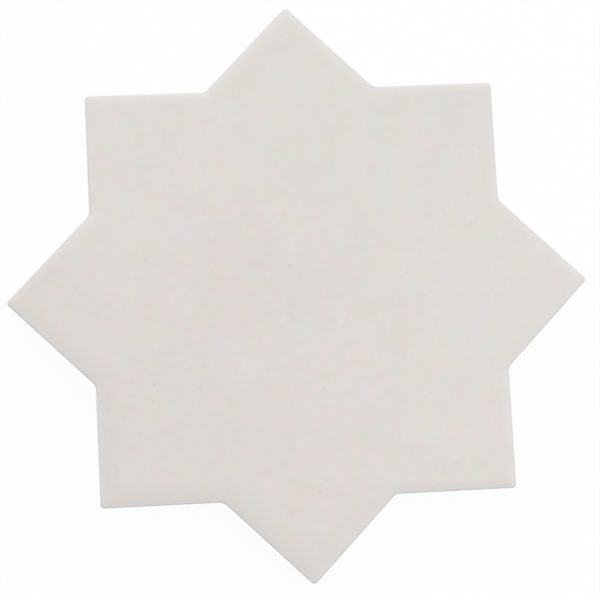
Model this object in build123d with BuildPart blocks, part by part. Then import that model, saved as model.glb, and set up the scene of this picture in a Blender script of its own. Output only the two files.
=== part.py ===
"""Star-shaped porcelain tile for floors and walls, pressed and fired in one piece.

The outline is two equal squares, one turned an eighth of a turn on the other, with the points and the
notches between them rounded as the press die leaves them. The tile lies face up on its back: +Z is out
of the glazed face, the origin is in the middle of the back, and four of the points lie on X and Y.
Sizes are in millimetres.
"""

import os
from math import radians, sqrt, tan

from build123d import *

# Outline
across_points = 150.0  # from the end of one point to the end of the opposite one
tip_radius = 0.95
notch_radius = 2.8

# Section through the edge
thickness = 9.0
crown_width = 3.0  # band along the edge in which the face falls away
crown_drop = 0.3
crown_steps = 3  # level sections that the curve of the crown is drawn through
arris_radius = 0.3  # round between the face and the wall
band_height = 1.2  # upright band of wall under the crown
wall_draft = 4.0  # degrees that the wall below the band leans in, so that the tile leaves the die
bevel_width = 0.8  # bevel between the wall and the back
bevel_height = 2.0

# Keyed back: shallow square cells with ribs between them, inside a flat rim
rim_width = 5.0
cell_pitch = 8.0
rib_width = 2.0
cell_depth = 0.8
cell_draft = 25.0  # degrees that the cell's sides lean, so that the tile leaves the press

# Rounding a square corner takes this much off it, so the squares are drawn that much larger
tip_loss = tip_radius * (sqrt(2) - 1)
square_side = sqrt(2) * (across_points / 2 + tip_loss)
cell_side = cell_pitch - rib_width
crown_foot = thickness - crown_drop
band_foot = crown_foot - band_height
wall_lean = (band_foot - bevel_height) * tan(radians(wall_draft))
back_inset = wall_lean + bevel_width


def edge_levels():
    """Height and inset of each level section: the back, the wall, and the crown up to the flat face."""
    levels = [(0, back_inset), (bevel_height, wall_lean), (band_foot, 0), (crown_foot, 0)]
    for step in range(1, crown_steps + 1):
        share = step / crown_steps
        levels.append((crown_foot + crown_drop * share * (2 - share), crown_width * share))
    return levels


def cell_centres():
    """Centres of the whole cells that fit inside the rim, on a square grid with an even count."""
    reach = square_side / 2 - back_inset - rim_width
    count = 2 * int(across_points / cell_pitch / 2)
    centres = []
    for place in GridLocations(cell_pitch, cell_pitch, count, count):
        far_x = abs(place.position.X) + cell_side / 2
        far_y = abs(place.position.Y) + cell_side / 2
        in_level_square = max(far_x, far_y) <= reach
        in_turned_square = far_x + far_y <= sqrt(2) * reach
        if in_level_square or in_turned_square:
            centres.append(place)
    return centres


with BuildPart() as cell:
    with BuildSketch():
        Rectangle(cell_side, cell_side)
    extrude(amount=cell_depth, taper=cell_draft)

with BuildPart() as star_tile:
    # The blank, drawn through its level sections
    for height, inset in edge_levels():
        with BuildSketch(Plane.XY.offset(height)) as section:
            side = square_side - 2 * inset
            Rectangle(side, side)
            Rectangle(side, side, rotation=45)
            fillet(section.vertices().group_by(SortBy.DISTANCE)[-1], tip_radius)
            fillet(section.vertices().group_by(SortBy.DISTANCE)[0], notch_radius)
    loft(ruled=True)

    # The arris all round the face
    fillet(star_tile.edges().filter_by_position(Axis.Z, crown_foot, crown_foot), arris_radius)

    # The keyed back
    with Locations(*cell_centres()):
        add(cell.part, mode=Mode.SUBTRACT)

star_tile.part.label = "star_tile"
os.makedirs("parts", exist_ok=True)
export_step(star_tile.part, "parts/star_tile.step")
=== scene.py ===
"""Looks of a star-shaped porcelain tile, lying face up on a pale studio floor.

The tile is one fired piece. Its form is a Geometry Nodes tree that carries a section through the edge round
the outline of the star, and sets shallow square cells into the back. Its finish is a matt off-white glaze
that runs out on the wall, over a bare pressed body. Every length is in metres unless a name says otherwise.
"""

import logging
import math
from dataclasses import dataclass, field
from enum import Enum
from typing import Mapping, Sequence, Union

import bpy
from mathutils import Matrix, Vector


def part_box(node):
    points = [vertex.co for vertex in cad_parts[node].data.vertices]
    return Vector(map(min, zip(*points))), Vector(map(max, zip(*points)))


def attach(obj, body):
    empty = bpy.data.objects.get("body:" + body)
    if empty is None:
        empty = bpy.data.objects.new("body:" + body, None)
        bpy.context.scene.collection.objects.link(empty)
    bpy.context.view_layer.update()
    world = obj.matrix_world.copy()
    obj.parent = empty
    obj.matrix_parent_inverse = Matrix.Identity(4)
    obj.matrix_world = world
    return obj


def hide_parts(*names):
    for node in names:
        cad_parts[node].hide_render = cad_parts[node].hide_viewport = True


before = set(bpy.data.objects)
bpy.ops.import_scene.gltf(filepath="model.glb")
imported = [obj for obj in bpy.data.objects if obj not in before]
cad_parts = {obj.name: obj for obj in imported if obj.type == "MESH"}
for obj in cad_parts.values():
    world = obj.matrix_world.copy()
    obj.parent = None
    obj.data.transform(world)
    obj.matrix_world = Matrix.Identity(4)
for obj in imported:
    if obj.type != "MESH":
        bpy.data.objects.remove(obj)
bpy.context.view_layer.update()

MM = 0.001
INSET = "inset"
WHITE = (1.0, 1.0, 1.0, 1.0)
LOG = logging.getLogger("star_tile")

Colour = tuple[float, float, float]
Span = tuple[float, float]
Key = Union[str, int]


class SocketKind(Enum):
    """Kinds of input and output that a node group offers."""

    GEOMETRY = "NodeSocketGeometry"
    LENGTH = "NodeSocketFloat"
    COUNT = "NodeSocketInt"
    MATERIAL = "NodeSocketMaterial"


class Curve(Enum):
    """How a value goes from one end of its range to the other."""

    STRAIGHT = "LINEAR"
    SMOOTH = "SMOOTHSTEP"


class Socket:
    """An output socket of a node tree, with arithmetic that adds Math nodes."""

    def __init__(self, tree: "Tree", raw: bpy.types.NodeSocket) -> None:
        """Wrap one output socket of a tree."""
        self.tree = tree
        self.raw = raw

    def math(self, operation: str, *others: "Number") -> "Socket":
        """Add a Math node with this socket as its first value."""
        values = dict(enumerate((self, *others)))
        return self.tree.add("ShaderNodeMath", {"operation": operation}, values)

    def swapped(self, operation: str, first: "Number") -> "Socket":
        """Add a Math node with this socket as its second value."""
        return self.tree.add("ShaderNodeMath", {"operation": operation}, {0: first, 1: self})

    def __add__(self, other: "Number") -> "Socket":
        """This plus another value."""
        return self.math("ADD", other)

    def __sub__(self, other: "Number") -> "Socket":
        """This less another value."""
        return self.math("SUBTRACT", other)

    def __mul__(self, other: "Number") -> "Socket":
        """This times another value."""
        return self.math("MULTIPLY", other)

    def __truediv__(self, other: "Number") -> "Socket":
        """This divided by another value."""
        return self.math("DIVIDE", other)

    def __mod__(self, other: "Number") -> "Socket":
        """What is left of this after whole steps of another value."""
        return self.math("FLOORED_MODULO", other)

    def __radd__(self, other: float) -> "Socket":
        """A number plus this."""
        return self.swapped("ADD", other)

    def __rsub__(self, other: float) -> "Socket":
        """A number less this."""
        return self.swapped("SUBTRACT", other)

    def __rmul__(self, other: float) -> "Socket":
        """A number times this."""
        return self.swapped("MULTIPLY", other)

    def __rtruediv__(self, other: float) -> "Socket":
        """A number divided by this."""
        return self.swapped("DIVIDE", other)

    def __abs__(self) -> "Socket":
        """This without its sign."""
        return self.math("ABSOLUTE")

    def floor(self) -> "Socket":
        """The whole number at or below this."""
        return self.math("FLOOR")

    def least(self, other: "Number") -> "Socket":
        """The smaller of this and another value."""
        return self.math("MINIMUM", other)

    def most(self, other: "Number") -> "Socket":
        """The larger of this and another value."""
        return self.math("MAXIMUM", other)

    def above(self, other: "Number") -> "Socket":
        """One where this is above another value, and zero elsewhere."""
        return self.math("GREATER_THAN", other)

    def ramp(self, low: "Number", high: "Number", curve: Curve = Curve.SMOOTH) -> "Socket":
        """A share that goes from 0 at a low value to 1 at a high one, and stays there outside them."""
        inputs = {"Value": self, "From Min": low, "From Max": high}
        return self.tree.add("ShaderNodeMapRange", {"interpolation_type": curve.value}, inputs)

    def split(self) -> tuple["Socket", "Socket", "Socket"]:
        """The X, Y and Z of this vector."""
        node = self.tree.node("ShaderNodeSeparateXYZ", inputs={"Vector": self})
        return tuple(Socket(self.tree, output) for output in node.outputs)


Number = Union[Socket, float]
Paint = Union[Socket, Colour]


class Tree:
    """A node tree that is being written, for a material or for geometry."""

    def __init__(self, raw: bpy.types.NodeTree) -> None:
        """Start writing in an existing tree."""
        self.raw = raw

    @staticmethod
    def find(sockets: Sequence[bpy.types.NodeSocket], key: Key) -> bpy.types.NodeSocket:
        """Find a socket.

        Args:
            sockets: the inputs or outputs of a node.
            key: the socket's place, or its name among those in use.

        Returns:
            The socket.
        """
        if isinstance(key, int):
            return sockets[key]
        return next(socket for socket in sockets if socket.name == key and socket.enabled)

    def feed(self, target: bpy.types.NodeSocket, value: object) -> None:
        """Link an input or set it.

        Args:
            target: the input.
            value: a socket, or a list of them, to link it to, or a plain value.
        """
        if isinstance(value, Socket):
            self.raw.links.new(value.raw, target)
        elif isinstance(value, list):
            for each in value:
                self.feed(target, each)
        else:
            target.default_value = value

    def node(
        self,
        kind: str,
        settings: Mapping[str, object] | None = None,
        inputs: Mapping[Key, object] | None = None,
    ) -> bpy.types.Node:
        """Add any node.

        Args:
            kind: the node's type.
            settings: its properties, which are set first.
            inputs: values or links of its sockets, by name or place.

        Returns:
            The node.
        """
        node = self.raw.nodes.new(kind)
        for name, value in (settings or {}).items():
            setattr(node, name, value)
        for key, value in (inputs or {}).items():
            self.feed(self.find(node.inputs, key), value)
        return node

    def add(self, *what: object, output: Key = 0, **how: object) -> Socket:
        """Add any node, as for node(), and take one of its outputs, by name or place."""
        return Socket(self, self.find(self.node(*what, **how).outputs, output))

    def vector(self, x: Number = 0.0, y: Number = 0.0, z: Number = 0.0) -> Socket:
        """A vector from three values."""
        return self.add("ShaderNodeCombineXYZ", inputs={"X": x, "Y": y, "Z": z})

    def vectors(self, operation: str, first: object, second: object, output: Key = 0) -> Socket:
        """Add a Vector Math node on two vectors, or on a vector and a scale."""
        inputs = {0: first, "Scale" if operation == "SCALE" else 1: second}
        return self.add("ShaderNodeVectorMath", {"operation": operation}, inputs, output=output)

    def mixed(self, share: Number, first: Paint, second: Paint) -> Socket:
        """Mix two colours.

        Args:
            share: how much of the second colour there is.
            first: the first colour.
            second: the second colour.

        Returns:
            The mixed colour.
        """
        colours = [value if isinstance(value, Socket) else (*value, 1.0) for value in (first, second)]
        inputs = {"Factor": share, "A": colours[0], "B": colours[1]}
        return self.add("ShaderNodeMix", {"data_type": "RGBA"}, inputs, output="Result")


class FormTree(Tree):
    """A Geometry Nodes tree with named inputs."""

    def __init__(self, name: str, inputs: Mapping[str, SocketKind]) -> None:
        """Make the tree with one geometry output.

        Args:
            name: the tree's name.
            inputs: the name and the kind of each input.
        """
        super().__init__(bpy.data.node_groups.new(name, "GeometryNodeTree"))
        for label, kind in inputs.items():
            self.raw.interface.new_socket(label, in_out="INPUT", socket_type=kind.value)
        self.raw.interface.new_socket("Mesh", in_out="OUTPUT", socket_type=SocketKind.GEOMETRY.value)
        self.entry = self.node("NodeGroupInput")

    def given(self, label: str) -> Socket:
        """One of the tree's named inputs."""
        return Socket(self, self.entry.outputs[label])

    def index(self) -> Socket:
        """Each point's own number."""
        return self.add("GeometryNodeInputIndex")

    def position(self) -> Socket:
        """Each point's place."""
        return self.add("GeometryNodeInputPosition")

    def domain_points(self, curve: Socket) -> Socket:
        """How many points a curve has."""
        what = ("GeometryNodeAttributeDomainSize", {"component": "CURVE"}, {"Geometry": curve})
        return self.add(*what, output="Point Count")

    def pick(self, index: Socket, values: Sequence[object], data_type: str) -> Socket:
        """Choose one of several values by a number.

        Args:
            index: the number, counted from 0.
            values: the values to choose from.
            data_type: the Index Switch node's type of value.

        Returns:
            The chosen value.
        """
        node = self.node("GeometryNodeIndexSwitch", {"data_type": data_type}, {"Index": index})
        while len(node.index_switch_items) < len(values):
            node.index_switch_items.new()
        for place, value in enumerate(values):
            self.feed(node.inputs[place + 1], value)
        return Socket(self, node.outputs[0])

    def fillet(self, curve: Socket, radius: Socket, count: int) -> Socket:
        """Round a curve's corners with short straight runs."""
        inputs = {"Curve": curve, "Radius": radius, "Count": count, "Limit Radius": True}
        return self.add("GeometryNodeFilletCurve", {"mode": "POLY"}, inputs)

    def moved(self, geometry: Socket, **place: Socket) -> Socket:
        """Set the points' Position, or add an Offset to it."""
        inputs = {"Geometry": geometry, **{name.title(): value for name, value in place.items()}}
        return self.add("GeometryNodeSetPosition", inputs=inputs)

    def merged(self, geometry: Socket, distance: float) -> Socket:
        """Join the points that lie within a distance of each other."""
        return self.add("GeometryNodeMergeByDistance", inputs={"Geometry": geometry, "Distance": distance})

    def close(self, geometry: Socket) -> bpy.types.NodeTree:
        """Send a geometry to the tree's output and return the tree."""
        self.node("NodeGroupOutput", inputs={0: geometry})
        return self.raw


@dataclass(frozen=True)
class Corner:
    """A corner of a section: how far in from the outline, how high, and how round."""

    inset: Number
    height: Number
    radius: Number = 0.0


@dataclass(frozen=True)
class RingForm:
    """The rule that the tile's edge and its cells share.

    A section is carried round a closed outline. All straight sides of the outline lie at one distance
    from its centre, so a ring that is inset by some length is the outline scaled down by its share of
    that distance.
    """

    merge_distance: float = 0.002 * MM
    name: str = "ring_form"

    def tree(self) -> bpy.types.NodeTree:
        """Build the group that makes a mesh from an outline, a section and a distance.

        Returns:
            The node group.
        """
        kinds = {
            "Outline": SocketKind.GEOMETRY,
            "Section": SocketKind.GEOMETRY,
            "Side Distance": SocketKind.LENGTH,
        }
        form = FormTree(self.name, kinds)
        outline, section = form.given("Outline"), form.given("Section")
        around, across = form.domain_points(outline), form.domain_points(section)
        size = {"Vertices X": around + 1, "Vertices Y": across}
        grid = form.add("GeometryNodeMeshGrid", inputs=size, output="Mesh")
        column = (form.index() / across).floor()
        row = form.index() % across
        inset, _, height = self.sample(form, section, row).split()
        share = 1.0 - inset / form.given("Side Distance")
        ring = form.vectors("SCALE", self.sample(form, outline, column % around), share)
        placed = form.vectors("ADD", ring, form.vector(z=height))
        keep = {"Geometry": grid, "Name": INSET, "Value": inset}
        grid = form.add("GeometryNodeStoreNamedAttribute", {"data_type": "FLOAT"}, keep)
        rings = form.merged(form.moved(grid, position=placed), self.merge_distance)
        return form.close(form.add("GeometryNodeFlipFaces", inputs={"Mesh": rings}))

    @staticmethod
    def sample(form: FormTree, curve: Socket, index: Socket) -> Socket:
        """Place of one point of a curve, by its number."""
        inputs = {"Geometry": curve, "Value": form.position(), "Index": index}
        return form.add("GeometryNodeSampleIndex", {"data_type": "FLOAT_VECTOR"}, inputs)

    @staticmethod
    def section(form: FormTree, corners: Sequence[Corner], round_count: int) -> Socket:
        """An open curve through a section's corners, with the inset on X and the height on Z.

        Args:
            form: the tree that is being written.
            corners: the corners in order.
            round_count: points that each rounded corner gets.

        Returns:
            The curve.
        """
        line = form.add("GeometryNodeMeshLine", inputs={"Count": len(corners), "Offset": (0.0, 0.0, 0.0)})
        places = [form.vector(x=corner.inset, z=corner.height) for corner in corners]
        line = form.moved(line, position=form.pick(form.index(), places, "VECTOR"))
        curve = form.add("GeometryNodeMeshToCurve", inputs={"Mesh": line})
        radius = form.pick(form.index(), [corner.radius for corner in corners], "FLOAT")
        return form.fillet(curve, radius, round_count)


@dataclass
class KeyedBack:
    """Shallow square cells pressed into the back, with ribs between them and a plain rim round them."""

    rim_width: float = 5.0 * MM
    cell_pitch: float = 8.0 * MM
    rib_width: float = 2.0 * MM
    cell_depth: float = 0.8 * MM
    cell_draft_deg: float = 25.0
    corner_radius: float = 0.7 * MM
    lip_width: float = 0.3 * MM
    lip_radius: float = 0.25 * MM
    floor_radius: float = 0.3 * MM
    round_count: int = 2

    @property
    def cell_side(self) -> float:
        """Side of a cell at the back, without its rounded lip."""
        return self.cell_pitch - self.rib_width

    def sizes(self, across: float) -> dict[str, float]:
        """Values of the tree's inputs that are about the back.

        Args:
            across: width of the field that the cells are laid out over.

        Returns:
            The values by input name.
        """
        return {
            "Rim Width": self.rim_width,
            "Cell Pitch": self.cell_pitch,
            "Cell Side": self.cell_side,
            "Cell Depth": self.cell_depth,
            "Cell Lean": self.cell_depth * math.tan(math.radians(self.cell_draft_deg)),
            "Cell Corner Radius": self.corner_radius,
            "Lip Width": self.lip_width,
            "Lip Radius": self.lip_radius,
            "Floor Radius": self.floor_radius,
            "Cell Count": 2 * int(across / self.cell_pitch / 2),
        }

    def mouth(self, form: FormTree) -> tuple[Socket, Socket]:
        """The outline of one cell's lip, and half of its width.

        Args:
            form: the tree that is being written.

        Returns:
            The closed curve and the half width.
        """
        width = form.given("Cell Side") + 2.0 * form.given("Lip Width")
        sides = {"Width": width, "Height": width}
        square = form.add("GeometryNodeCurvePrimitiveQuadrilateral", inputs=sides)
        return form.fillet(square, form.given("Cell Corner Radius"), self.round_count), width / 2.0

    def cell(self, form: FormTree, ring_form: bpy.types.NodeTree) -> Socket:
        """The lip, sides and floor of one cell.

        Args:
            form: the tree that is being written.
            ring_form: the group that carries a section round an outline.

        Returns:
            The cell's mesh.
        """
        outline, half_width = self.mouth(form)
        lip, depth = form.given("Lip Width"), form.given("Cell Depth")
        corners = [
            Corner(0.0, 0.0),
            Corner(lip, 0.0, form.given("Lip Radius")),
            Corner(lip + form.given("Cell Lean"), depth, form.given("Floor Radius")),
            Corner(half_width, depth),
        ]
        section = RingForm.section(form, corners, self.round_count)
        inputs = {"Outline": outline, "Section": section, "Side Distance": half_width}
        return form.add("GeometryNodeGroup", {"node_tree": ring_form}, inputs)

    @staticmethod
    def lattice(form: FormTree) -> Socket:
        """The square grid of points that the cells are laid out on.

        Args:
            form: the tree that is being written.

        Returns:
            The grid's mesh.
        """
        count = form.given("Cell Count")
        size = (count - 1) * form.given("Cell Pitch")
        inputs = {"Size X": size, "Size Y": size, "Vertices X": count, "Vertices Y": count}
        return form.add("GeometryNodeMeshGrid", inputs=inputs, output="Mesh")

    @staticmethod
    def fits(form: FormTree, back_reach: Socket) -> Socket:
        """One at each grid point whose whole cell lies inside the rim, and zero elsewhere.

        Args:
            form: the tree that is being written.
            back_reach: distance of the back's straight sides from its centre.

        Returns:
            The choice.
        """
        reach = back_reach - form.given("Rim Width")
        x, y, _ = form.position().split()
        half = form.given("Cell Side") / 2.0
        far_x, far_y = abs(x) + half, abs(y) + half
        in_level_square = reach - far_x.most(far_y)
        in_turned_square = reach - (far_x + far_y) * math.sqrt(0.5)
        return in_level_square.most(in_turned_square).above(0.0)

    def laid(self, form: FormTree, what: Socket, back_reach: Socket) -> Socket:
        """Lay a cell, or its outline, out over the back.

        Args:
            form: the tree that is being written.
            what: the geometry that repeats.
            back_reach: distance of the back's straight sides from its centre.

        Returns:
            The laid out copies, as real geometry.
        """
        inputs = {"Points": self.lattice(form), "Selection": self.fits(form, back_reach), "Instance": what}
        copies = form.add("GeometryNodeInstanceOnPoints", inputs=inputs)
        return form.add("GeometryNodeRealizeInstances", inputs={"Geometry": copies})


@dataclass
class StarTile:
    """The whole tile: two crossed squares with rounded points, a crowned face and a keyed back."""

    across_points: float
    thickness: float
    tip_radius: float = 0.95 * MM
    notch_radius: float = 2.8 * MM
    crown_width: float = 3.0 * MM
    crown_drop: float = 0.3 * MM
    crown_sway: float = 1.2
    crown_sway_length: float = 9.0 * MM
    arris_radius: float = 0.3 * MM
    band_height: float = 1.2 * MM
    wall_draft_deg: float = 4.0
    bevel_width: float = 0.8 * MM
    bevel_height: float = 2.0 * MM
    heel_radius: float = 0.4 * MM
    seat_width: float = 1.0 * MM
    waviness: float = 0.06 * MM
    wave_length: float = 45.0 * MM
    back: KeyedBack = field(default_factory=KeyedBack)
    wall_cuts: int = 11
    round_count: int = 7
    face_spacing: float = 2.5 * MM
    crown_spacing: float = 0.3 * MM
    merge_distance: float = 0.002 * MM
    node: str = "star_tile"
    body: str = "root"
    slot: str = "porcelain"

    POINTS = 8

    @classmethod
    def from_frame(cls, node: str) -> "StarTile":
        """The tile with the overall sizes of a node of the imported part."""
        low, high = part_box(node)
        return cls(across_points=high.x - low.x, thickness=high.z - low.z, node=node)

    @property
    def sharp_radius(self) -> float:
        """Distance of the points from the centre before they are rounded."""
        return self.across_points / 2 + self.tip_radius * (math.sqrt(2) - 1)

    @property
    def side_distance(self) -> float:
        """Distance of the straight walls from the centre, the same for all of them."""
        return self.sharp_radius * math.sqrt(0.5)

    @property
    def wall_lean(self) -> float:
        """How far the wall's foot lies in from its upright band."""
        drafted = self.thickness - self.crown_drop - self.band_height - self.bevel_height
        return drafted * math.tan(math.radians(self.wall_draft_deg))

    def sizes(self) -> dict[str, float]:
        """Values of the form's named inputs.

        Returns:
            The values by input name.
        """
        return {
            "Point Radius": self.sharp_radius,
            "Notch Place": self.side_distance / math.cos(math.pi / self.POINTS),
            "Side Distance": self.side_distance,
            "Thickness": self.thickness,
            "Tip Radius": self.tip_radius,
            "Notch Radius": self.notch_radius,
            "Crown Width": self.crown_width,
            "Crown Drop": self.crown_drop,
            "Arris Radius": self.arris_radius,
            "Band Height": self.band_height,
            "Wall Lean": self.wall_lean,
            "Bevel Width": self.bevel_width,
            "Bevel Height": self.bevel_height,
            "Heel Radius": self.heel_radius,
            "Seat Width": self.seat_width,
            "Crown Sway": self.crown_sway,
            "Crown Sway Length": self.crown_sway_length,
            "Waviness": self.waviness,
            "Wave Length": self.wave_length,
            **self.back.sizes(self.across_points),
        }

    def outline(self, form: FormTree) -> Socket:
        """The star, with points along its walls and with rounded points and notches.

        Args:
            form: the tree that is being written.

        Returns:
            The closed curve.
        """
        radii = {"Inner Radius": form.given("Notch Place"), "Outer Radius": form.given("Point Radius")}
        star = form.add("GeometryNodeCurveStar", inputs={"Points": self.POINTS, "Twist": 0.0, **radii})
        star = form.add("GeometryNodeSubdivideCurve", inputs={"Curve": star, "Cuts": self.wall_cuts})
        wall_steps = self.wall_cuts + 1
        step = form.index() % (2 * wall_steps)
        half_step = 0.5
        is_tip = step.math("COMPARE", 0.0, half_step)
        is_notch = step.math("COMPARE", float(wall_steps), half_step)
        radius = is_tip * form.given("Tip Radius") + is_notch * form.given("Notch Radius")
        return form.fillet(star, radius, self.round_count)

    def section(self, form: FormTree) -> Socket:
        """The section through the edge, from the middle of the face, over the wall, to the back.

        Args:
            form: the tree that is being written.

        Returns:
            The open curve.
        """
        top = form.given("Thickness")
        crown = form.given("Crown Width")
        lean = form.given("Wall Lean")
        heel = form.given("Heel Radius")
        back_inset = lean + form.given("Bevel Width")
        corners = [
            Corner(form.given("Side Distance"), top),
            Corner(crown, top),
            Corner(0.0, top, form.given("Arris Radius")),
            Corner(0.0, top - form.given("Band Height")),
            Corner(lean, form.given("Bevel Height"), heel),
            Corner(back_inset, 0.0, heel),
            Corner(back_inset + form.given("Seat Width"), 0.0),
        ]
        return self.subdivided(form, RingForm.section(form, corners, self.round_count))

    def subdivided(self, form: FormTree, curve: Socket) -> Socket:
        """Divide the section's long runs, finely on the crown and coarsely on the face and the wall.

        Args:
            form: the tree that is being written.
            curve: the section with its corners rounded.

        Returns:
            The divided section.
        """
        place = form.position()
        inputs = {"Value": place, "Index": form.index() + 1}
        following = form.add("GeometryNodeFieldAtIndex", {"data_type": "FLOAT_VECTOR"}, inputs)
        gap = form.vectors("DISTANCE", place, following, output="Value")
        inset, _, height = place.split()
        on_face = inset.above(form.given("Crown Width") + form.given("Tip Radius"))
        on_wall = (form.given("Thickness") - height).above(form.given("Arris Radius") * 0.5)
        spacing = self.crown_spacing + (self.face_spacing - self.crown_spacing) * on_face.most(on_wall)
        cuts = (gap / spacing).floor()
        return form.add("GeometryNodeSubdivideCurve", inputs={"Curve": curve, "Cuts": cuts})

    def fired(self, form: FormTree, mesh: Socket) -> Socket:
        """Let the face fall away along the edge and sag a little, as it does in the kiln.

        Args:
            form: the tree that is being written.
            mesh: the ringed surface, with its face still flat.

        Returns:
            The surface with its crown, nowhere above its full thickness.
        """
        place = form.position()
        _, _, height = place.split()
        top = form.given("Thickness")
        inset = form.add("GeometryNodeInputNamedAttribute", {"data_type": "FLOAT"}, {"Name": INSET})
        sway = (self.wave(form, place, "Crown Sway Length") - 0.5) * form.given("Crown Sway")
        fall = (1.0 - inset / (form.given("Crown Width") * (1.0 + sway))).most(0.0)
        crown = form.given("Crown Drop") * fall * fall
        upper = height.ramp(form.given("Bevel Height"), top, Curve.STRAIGHT)
        on_face = height.ramp(top - form.given("Arris Radius"), top)
        sag = form.given("Waviness") * self.wave(form, place, "Wave Length") * on_face
        return form.moved(mesh, offset=form.vector(z=-1.0 * (crown * upper + sag)))

    @staticmethod
    def wave(form: FormTree, place: Socket, length: str) -> Socket:
        """A soft random value with waves as long as a named input."""
        inputs = {"Vector": place, "Scale": 1.0 / form.given(length), "Detail": 1.0}
        return form.add("ShaderNodeTexNoise", inputs=inputs)

    def tree(self) -> bpy.types.NodeTree:
        """Build the tree that makes the whole tile.

        Returns:
            The node tree, whose inputs are the tile's sizes and its material.
        """
        kinds = {label: SocketKind.LENGTH for label in self.sizes()}
        kinds["Cell Count"] = SocketKind.COUNT
        kinds["Finish"] = SocketKind.MATERIAL
        form = FormTree("star_tile_form", kinds)
        ring_form = RingForm(self.merge_distance).tree()
        outline = self.outline(form)
        side_distance = form.given("Side Distance")
        inputs = {"Outline": outline, "Section": self.section(form), "Side Distance": side_distance}
        edge = form.add("GeometryNodeGroup", {"node_tree": ring_form}, inputs)
        edge = self.fired(form, edge)

        back_inset = form.given("Wall Lean") + form.given("Bevel Width")
        seat = 1.0 - (back_inset + form.given("Seat Width")) / side_distance
        rim = form.moved(outline, position=form.vectors("SCALE", form.position(), seat))
        back_reach = side_distance - back_inset
        mouth, _ = self.back.mouth(form)
        mouths = self.back.laid(form, mouth, back_reach)
        flat = form.add("GeometryNodeJoinGeometry", inputs={0: [rim, mouths]})
        flat = form.add("GeometryNodeFillCurve", {"mode": "TRIANGLES"}, {"Curve": flat})
        flat = form.add("GeometryNodeFlipFaces", inputs={"Mesh": flat})
        cells = self.back.laid(form, self.back.cell(form, ring_form), back_reach)

        whole = form.add("GeometryNodeJoinGeometry", inputs={0: [edge, flat, cells]})
        whole = form.merged(whole, self.merge_distance)
        whole = form.add("GeometryNodeRemoveAttribute", inputs={"Geometry": whole, "Name": INSET})
        whole = form.add("GeometryNodeSetShadeSmooth", inputs={"Geometry": whole, "Shade Smooth": True})
        whole = form.add("GeometryNodeRealizeInstances", inputs={"Geometry": whole})
        whole = form.add(
            "GeometryNodeSetMaterial", inputs={"Geometry": whole, "Material": form.given("Finish")}
        )
        return form.close(whole)

    def build(self, finish: bpy.types.Material) -> bpy.types.Object:
        """Make the tile's mesh and put it in the place of its node.

        Args:
            finish: the tile's material.

        Returns:
            The finished piece.
        """
        piece = bpy.data.objects.new("tile", bpy.data.meshes.new("tile_start"))
        bpy.context.scene.collection.objects.link(piece)
        modifier = piece.modifiers.new("form", "NODES")
        modifier.node_group = self.tree()
        values = {**self.sizes(), "Finish": finish}
        for item in modifier.node_group.interface.items_tree:
            if item.in_out == "INPUT":
                modifier[item.identifier] = values[item.name]
        evaluated = piece.evaluated_get(bpy.context.evaluated_depsgraph_get())
        mesh = bpy.data.meshes.new_from_object(evaluated)
        mesh.name = "tile"
        mesh.materials.clear()
        mesh.materials.append(finish)
        piece.modifiers.clear()
        piece.data = mesh
        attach(piece, self.body)
        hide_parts(self.node)
        return piece


@dataclass(frozen=True)
class Pattern:
    """A soft random pattern in a finish: the length of its waves, the finer ones added, and its seed."""

    size: float
    detail: float = 2.0
    roughness: float = 0.5
    seed: float | None = None

    def value(self, place: Socket) -> Socket:
        """Read the pattern.

        Args:
            place: where it is read.

        Returns:
            A value between 0 and 1.
        """
        seeded = {} if self.seed is None else {"W": self.seed}
        waves = {"Scale": 1.0 / self.size, "Detail": self.detail, "Roughness": self.roughness}
        settings = {"noise_dimensions": "4D" if seeded else "3D"}
        return place.tree.add("ShaderNodeTexNoise", settings, {"Vector": place, **waves, **seeded})

    def swing(self, place: Socket, depth: float) -> Socket:
        """The pattern as a change to either side of zero, of a stated depth in all."""
        return (self.value(place) - 0.5) * depth


@dataclass(frozen=True)
class Specks:
    """Ragged pinholes and pale flecks in the glaze, which lie in loose groups."""

    spacing: float = 3.4 * MM
    radii: Span = (0.51 * MM, 1.19 * MM)
    soft_edge: Span = (0.1, 1.0)
    rag: Pattern = Pattern(0.9 * MM)
    rag_depth: float = 1.6
    group: Pattern = Pattern(22.0 * MM, detail=1.0, seed=5.2)
    group_span: Span = (0.4, 0.62)
    shown_share: float = 0.75
    pale_share: float = 0.43
    depth: float = 0.08

    def darkness(self, place: Socket) -> Socket:
        """How much darker the glaze is at its pinholes, or paler at its flecks.

        Args:
            place: where the colour is wanted.

        Returns:
            The share of light that is lost, below zero at a fleck.
        """
        inputs = {"Vector": place, "Scale": 1.0 / self.spacing, "Randomness": 1.0}
        cells = place.tree.node("ShaderNodeTexVoronoi", {"voronoi_dimensions": "2D"}, inputs)
        distance = Socket(place.tree, cells.outputs["Distance"]) * self.spacing
        chance, size, tone = Socket(place.tree, cells.outputs["Color"]).split()
        smallest, largest = self.radii
        ragged = distance * (1.0 + self.rag.swing(place, self.rag_depth))
        spot = 1.0 - (ragged / (smallest + (largest - smallest) * size)).ramp(*self.soft_edge)
        grouped = self.group.value(place).ramp(*self.group_span)
        shown = (1.0 - chance.above(self.shown_share)) * grouped
        return spot * shown * (tone - self.pale_share) * self.depth


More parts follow.
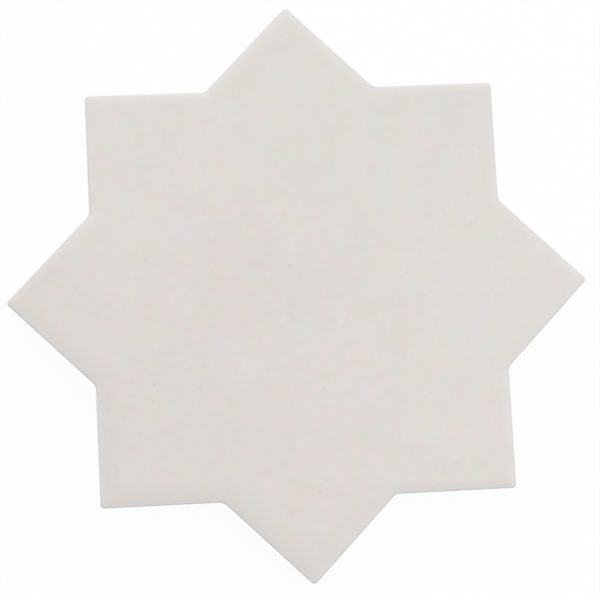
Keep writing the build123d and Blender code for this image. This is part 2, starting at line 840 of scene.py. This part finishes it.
@dataclass(frozen=True)
class PaintedEdgeShade:
    """Painted shade: a darker band along the edges on the side of the tile that faces away from the key
    light.
    """

    # Direction of the side that takes the painted shade, away from the key light.
    azimuth_deg: float = 222.0
    reach: Span = (0.3, 0.75)
    band: Span = (3.2 * MM, 6.4 * MM)
    edge: Pattern = Pattern(8.0 * MM, detail=3.0)
    sway: float = 5.0 * MM
    left_on_rim: float = 0.4
    depth: float = 0.028

    def darkness(self, place: Socket, inset: Socket, on_rim: Socket, half_width: float) -> Socket:
        """How much darker the painted shade makes the glaze along the edge.

        Args:
            place: where the colour is wanted.
            inset: distance from there to the edge.
            on_rim: share of the thin glaze on the rim.
            half_width: half of the tile's width.

        Returns:
            The share of light that is lost.
        """
        x, y, _ = place.split()
        azimuth = math.radians(self.azimuth_deg)
        towards = (x * math.cos(azimuth) + y * math.sin(azimuth)) / half_width
        along_edge = 1.0 - (inset + self.edge.swing(place, self.sway)).ramp(*self.band)
        thinned = 1.0 - on_rim * (1.0 - self.left_on_rim)
        return along_edge * thinned * towards.ramp(*self.reach) * self.depth


@dataclass(frozen=True)
class PaintedRimSheen:
    """A painted sheen: a paler rim beside the walls that face two opposite ways."""

    width: float = 3.4 * MM
    paleness: float = 0.026
    level_square_share: float = 0.6
    blur: float = 1.5 * MM

    def paler(self, place: Socket, inset: Socket) -> Socket:
        """How much paler the painted sheen makes the rim.

        Args:
            place: where the colour is wanted.
            inset: distance from there to the edge.

        Returns:
            The share of light that is gained.
        """
        x, y, _ = place.split()
        on_turned = self.chosen(abs(x).most(abs(y)) - (abs(x) + abs(y)) * math.sqrt(0.5))
        faces_x = self.chosen(abs(x) - abs(y))
        faces_slant = self.chosen(abs(x - y) - abs(x + y))
        # The painted sheen lies beside the turned walls that face 135 and 315 degrees, and more faintly
        # beside the level walls that face along X.
        across = on_turned * faces_slant + (1.0 - on_turned) * faces_x * self.level_square_share
        return (1.0 - inset.ramp(0.0, self.width)) * across * self.paleness

    def chosen(self, lead: Socket) -> Socket:
        """A soft choice: one where a length is above zero, and none where it is below."""
        return lead.ramp(-self.blur, self.blur)


@dataclass(frozen=True)
class Glaze:
    """Matt off-white glaze: cloudy, mottled, faintly speckled and paler where it thins at the edge, with
    painted shade and a painted sheen along some edges.
    """

    warm: Colour = (0.746, 0.685, 0.6635)
    cool: Colour = (0.713, 0.704, 0.6635)
    tint: Pattern = Pattern(70.0 * MM, detail=4.0, roughness=0.6, seed=255.4)
    tint_contrast: float = 1.45
    tint_mottle: Pattern = Pattern(5.0 * MM, roughness=0.7)
    tint_mottle_contrast: float = 2.5
    lilac: Pattern = Pattern(5.5 * MM, roughness=0.7, seed=61.3)
    lilac_depth: float = 0.16
    thin: Colour = (0.729, 0.705, 0.685)
    thin_width: float = 2.2 * MM
    arris_width: float = 0.7 * MM
    arris_depth: float = 0.034
    cloud: Pattern = Pattern(45.0 * MM, detail=1.0, seed=37.15)
    cloud_depth: float = 0.044
    patch: Pattern = Pattern(30.0 * MM, detail=1.0, roughness=0.6, seed=17.4)
    patch_depth: float = 0.022
    mottle: Pattern = Pattern(12.0 * MM, detail=4.0, roughness=0.95)
    mottle_depth: float = 0.096
    grain: Pattern = Pattern(1.5 * MM, roughness=0.8)
    grain_depth: float = 0.022
    grain_group: Pattern = Pattern(16.0 * MM)
    grain_group_span: Span = (0.35, 0.7)
    specks: Specks = Specks()
    edge_shade: PaintedEdgeShade = PaintedEdgeShade()
    rim: PaintedRimSheen = PaintedRimSheen()
    ripple: Pattern = Pattern(2.6 * MM)
    ripple_height: float = 0.006 * MM
    roughness: float = 0.48

    def colour(self, place: Socket, tile: StarTile) -> Socket:
        """Colour of the glaze.

        Args:
            place: where the colour is wanted.
            tile: the tile, whose sizes say how far the edge is.

        Returns:
            The colour.
        """
        x, y, _ = place.split()
        inset = tile.side_distance - abs(x).most(abs(y)).least((abs(x) + abs(y)) * math.sqrt(0.5))
        on_rim = 1.0 - inset.ramp(0.0, self.thin_width)
        on_arris = 1.0 - inset.ramp(0.0, self.arris_width)
        tone = 1.0 + self.clouds(place) - on_arris * self.arris_depth
        # A painted sheen makes the rim paler beside some walls; the pinholes and flecks are the glaze's
        # own.
        tone = tone + self.rim.paler(place, inset) - self.specks.darkness(place)
        # Painted shade darkens the edges on the side away from the key light.
        tone = tone - self.edge_shade.darkness(place, inset, on_rim, tile.across_points / 2)
        base = place.tree.mixed(on_rim, self.tinted(place), self.thin)
        return place.tree.vectors("SCALE", base, tone)

    def tinted(self, place: Socket) -> Socket:
        """Colour of the full glaze, between warm and cool and between yellow and lilac.

        Args:
            place: where the colour is wanted.

        Returns:
            The colour, before its lights and darks.
        """
        coolness = 0.5 + self.tint.swing(place, self.tint_contrast)
        coolness = coolness + self.tint_mottle.swing(place, self.tint_mottle_contrast)
        base = place.tree.mixed(coolness, self.warm, self.cool)
        blue = 1.0 + self.lilac.swing(place, self.lilac_depth)
        return place.tree.vectors("MULTIPLY", base, place.tree.vector(1.0, 1.0, blue))

    def clouds(self, place: Socket) -> Socket:
        """How much lighter or darker the glaze is in its clouds, its mottling and its patchy grain.

        Args:
            place: where the colour is wanted.

        Returns:
            The share of light that is gained or lost.
        """
        cloud = self.cloud.swing(place, self.cloud_depth)
        patch = self.patch.swing(place, self.patch_depth)
        mottle = self.mottle.swing(place, self.mottle_depth)
        grouped = self.grain_group.value(place).ramp(*self.grain_group_span)
        return cloud + patch + mottle + self.grain.swing(place, self.grain_depth) * grouped


@dataclass(frozen=True)
class BareBody:
    """The bare pressed body: warm, finely grained, with white kiln dust where it lay on the rollers."""

    colour: Colour = (0.70, 0.655, 0.585)
    grain: Pattern = Pattern(0.55 * MM)
    grain_depth: float = 0.12
    cloud: Pattern = Pattern(18.0 * MM, detail=3.0)
    cloud_depth: float = 0.10
    dust: Colour = (0.80, 0.78, 0.75)
    dust_patch: Pattern = Pattern(14.0 * MM, detail=4.0, roughness=0.65)
    dust_patch_span: Span = (0.42, 0.68)
    dust_height: Span = (0.05 * MM, 0.3 * MM)
    dust_cover: float = 0.8
    press: Pattern = Pattern(0.55 * MM, detail=3.0)
    press_height: float = 0.03 * MM
    roughness: float = 0.85

    def shaded(self, place: Socket) -> Socket:
        """Colour of the body, with dust in patches on the ribs and the rim of the back.

        Args:
            place: where the colour is wanted.

        Returns:
            The colour.
        """
        _, _, height = place.split()
        patch = self.dust_patch.value(place).ramp(*self.dust_patch_span)
        dusty = patch * (1.0 - height.ramp(*self.dust_height)) * self.dust_cover
        tone = 1.0 + self.grain.swing(place, self.grain_depth) + self.cloud.swing(place, self.cloud_depth)
        return place.tree.vectors("SCALE", place.tree.mixed(dusty, self.colour, self.dust), tone)


@dataclass(frozen=True)
class GlazedPorcelain:
    """The tile's finish: glaze that frays out on the wall, over the bare body."""

    glaze: Glaze = Glaze()
    body: BareBody = BareBody()
    line: float = 5.4 * MM
    line_wave: Pattern = Pattern(9.0 * MM, detail=3.0)
    line_sway: float = 1.6 * MM
    line_fray: Pattern = Pattern(0.8 * MM)
    line_fray_height: float = 1.4 * MM
    line_blur: float = 0.45 * MM
    name: str = "matt_glaze_on_porcelain"

    def material(self, tile: StarTile) -> bpy.types.Material:
        """Build the finish for a tile.

        Args:
            tile: the tile, whose sizes place the glaze on it.

        Returns:
            The material.
        """
        material = bpy.data.materials.new(self.name)
        material.use_nodes = True
        material.node_tree.nodes.clear()
        shade = Tree(material.node_tree)
        place = shade.add("ShaderNodeTexCoord", output="Object")
        glazed = self.glazed(place)
        inputs = {
            "Base Color": shade.mixed(glazed, self.body.shaded(place), self.glaze.colour(place, tile)),
            "Roughness": self.body.roughness + (self.glaze.roughness - self.body.roughness) * glazed,
            "Normal": self.relief(place, glazed),
        }
        surface = shade.add("ShaderNodeBsdfPrincipled", inputs=inputs)
        shade.node("ShaderNodeOutputMaterial", inputs={"Surface": surface})
        return material

    def glazed(self, place: Socket) -> Socket:
        """Share of glaze: whole on the face, none below the uneven line where it runs out on the wall.

        Args:
            place: where the share is wanted.

        Returns:
            The share.
        """
        _, _, height = place.split()
        sway = self.line_wave.swing(place, self.line_sway)
        line = sway + self.line_fray.swing(place, self.line_fray_height) + self.line
        return height.ramp(line - self.line_blur, line + self.line_blur)

    def relief(self, place: Socket, glazed: Socket) -> Socket:
        """Normal of the surface: a soft ripple in the glaze, and the press's grain in the body.

        Args:
            place: where the normal is wanted.
            glazed: share of glaze there.

        Returns:
            The normal.
        """
        ripple = self.glaze.ripple.value(place) * self.glaze.ripple_height
        press = self.body.press.value(place) * self.body.press_height
        height = glazed * ripple + (1.0 - glazed) * press
        return place.tree.add("ShaderNodeBump", inputs={"Height": height, "Distance": 1.0, "Strength": 1.0})


@dataclass(frozen=True)
class StudioFloor:
    """A pale floor that reads as white and still takes the tile's shadow."""

    width: float = 4.0
    colour: Colour = (0.9, 0.9, 0.9)
    white_share: float = 0.94
    name: str = "studio_floor"

    def build(self) -> bpy.types.Object:
        """Make the floor under the tile.

        Returns:
            The floor.
        """
        half = self.width / 2
        mesh = bpy.data.meshes.new(self.name)
        corners = [(-half, -half, 0), (half, -half, 0), (half, half, 0), (-half, half, 0)]
        mesh.from_pydata(corners, [], [range(len(corners))])
        floor = bpy.data.objects.new(self.name, mesh)
        mesh.materials.append(self.material())
        bpy.context.scene.collection.objects.link(floor)
        return floor

    def material(self) -> bpy.types.Material:
        """Build the floor's finish: paint that takes shadow, mixed with white for what is seen directly.

        Returns:
            The material.
        """
        material = bpy.data.materials.new(self.name)
        material.use_nodes = True
        material.node_tree.nodes.clear()
        shade = Tree(material.node_tree)
        paint = shade.add("ShaderNodeBsdfDiffuse", inputs={"Color": (*self.colour, 1.0)})
        white = shade.add("ShaderNodeEmission", inputs={"Color": WHITE, "Strength": 1.0})
        share = seen_directly(shade) * self.white_share
        surface = shade.add("ShaderNodeMixShader", inputs={0: share, 1: paint, 2: white})
        shade.node("ShaderNodeOutputMaterial", inputs={"Surface": surface})
        return material


def seen_directly(shade: Tree) -> Socket:
    """Tell what is seen directly, in a reflection or through glass from what only lights the tile.

    Args:
        shade: the tree that is being written.

    Returns:
        One for rays that show the surface, and zero for rays that carry its light.
    """
    rays = shade.node("ShaderNodeLightPath")
    kinds = ("Is Camera Ray", "Is Glossy Ray", "Is Transmission Ray")
    camera, glossy, through = (Socket(shade, rays.outputs[kind]) for kind in kinds)
    return camera.most(glossy).most(through)


@dataclass(frozen=True)
class Softbox:
    """A square lamp that is aimed at the tile and gives its face a stated share of plain light."""

    name: str
    level: float
    azimuth_deg: float
    elevation_deg: float
    distance: float
    side: float

    def build(self, target: Vector) -> bpy.types.Object:
        """Make the lamp.

        Args:
            target: the point that it is aimed at.

        Returns:
            The lamp.
        """
        azimuth, elevation = math.radians(self.azimuth_deg), math.radians(self.elevation_deg)
        away = Vector(
            (
                math.cos(azimuth) * math.cos(elevation),
                math.sin(azimuth) * math.cos(elevation),
                math.sin(elevation),
            )
        )
        lamp = bpy.data.lights.new(self.name, "AREA")
        lamp.shape = "SQUARE"
        lamp.size = self.side
        lamp.energy = self.level * (math.pi * self.distance) ** 2 / math.sin(elevation)
        holder = bpy.data.objects.new(self.name, lamp)
        holder.location = target + away * self.distance
        holder.rotation_mode = "QUATERNION"
        holder.rotation_quaternion = away.to_track_quat("Z", "Y")
        bpy.context.scene.collection.objects.link(holder)
        return holder


@dataclass(frozen=True)
class PhotoCamera:
    """The camera at the photograph's angle: almost straight down, and a little past two of the walls."""

    azimuth_deg: float = -32.71
    elevation_deg: float = 81.92
    roll_deg: float = 30.02
    distance: float = 493.27 * MM
    aim_x: float = -0.05 * MM
    aim_y: float = -2.36 * MM
    lens_mm: float = 114.6

    def build(self, face_height: float) -> bpy.types.Object:
        """Make the camera and give it to the scene.

        Args:
            face_height: height of the face that it is aimed at.

        Returns:
            The camera.
        """
        azimuth, elevation, roll = (
            math.radians(angle) for angle in (self.azimuth_deg, self.elevation_deg, self.roll_deg)
        )
        back = Vector(
            (
                math.sin(azimuth) * math.cos(elevation),
                -math.cos(azimuth) * math.cos(elevation),
                math.sin(elevation),
            )
        )
        level_right = Vector((math.cos(azimuth), math.sin(azimuth), 0.0))
        level_up = back.cross(level_right)
        right = level_right * math.cos(roll) + level_up * math.sin(roll)
        up = back.cross(right)
        data = bpy.data.cameras.new("photo_camera")
        data.lens = self.lens_mm
        camera = bpy.data.objects.new("photo_camera", data)
        place = Vector((self.aim_x, self.aim_y, face_height)) + back * self.distance
        turn = Matrix((right, up, back)).transposed().to_4x4()
        camera.matrix_world = Matrix.Translation(place) @ turn
        bpy.context.scene.collection.objects.link(camera)
        bpy.context.scene.camera = camera
        return camera


@dataclass(frozen=True)
class Studio:
    """Plain soft light: two softboxes and an even surround, which light the face at about level 1."""

    surround_level: float = 0.682
    key: Softbox = Softbox(
        "key", level=0.245, azimuth_deg=84.0, elevation_deg=36.0, distance=6.0, side=2.6
    )
    fill: Softbox = Softbox(
        "fill", level=0.068, azimuth_deg=8.0, elevation_deg=60.0, distance=0.6, side=0.3
    )

    def build(self, target: Vector) -> None:
        """Make the lamps and the surround.

        Args:
            target: the point that the lamps are aimed at.
        """
        scene = bpy.context.scene
        scene.view_settings.view_transform = "Standard"
        for softbox in (self.key, self.fill):
            softbox.build(target)
        world = bpy.data.worlds.new("studio")
        scene.world = world
        world.use_nodes = True
        world.node_tree.nodes.clear()
        shade = Tree(world.node_tree)
        strength = self.surround_level + (1.0 - self.surround_level) * seen_directly(shade)
        light = shade.add("ShaderNodeBackground", inputs={"Color": WHITE, "Strength": strength})
        shade.node("ShaderNodeOutputWorld", inputs={"Surface": light})


def main() -> None:
    """Build the tile, the floor, the light and the camera in order."""
    logging.basicConfig(level=logging.INFO, format="%(name)s: %(message)s")
    tile = StarTile.from_frame("star_tile")
    for piece in (tile.build(GlazedPorcelain().material(tile)), StudioFloor().build()):
        LOG.info("%s: %d faces", piece.name, len(piece.data.polygons))
    Studio().build(Vector((0.0, 0.0, tile.thickness)))
    PhotoCamera().build(tile.thickness)


if __name__ == "__main__":
    main()
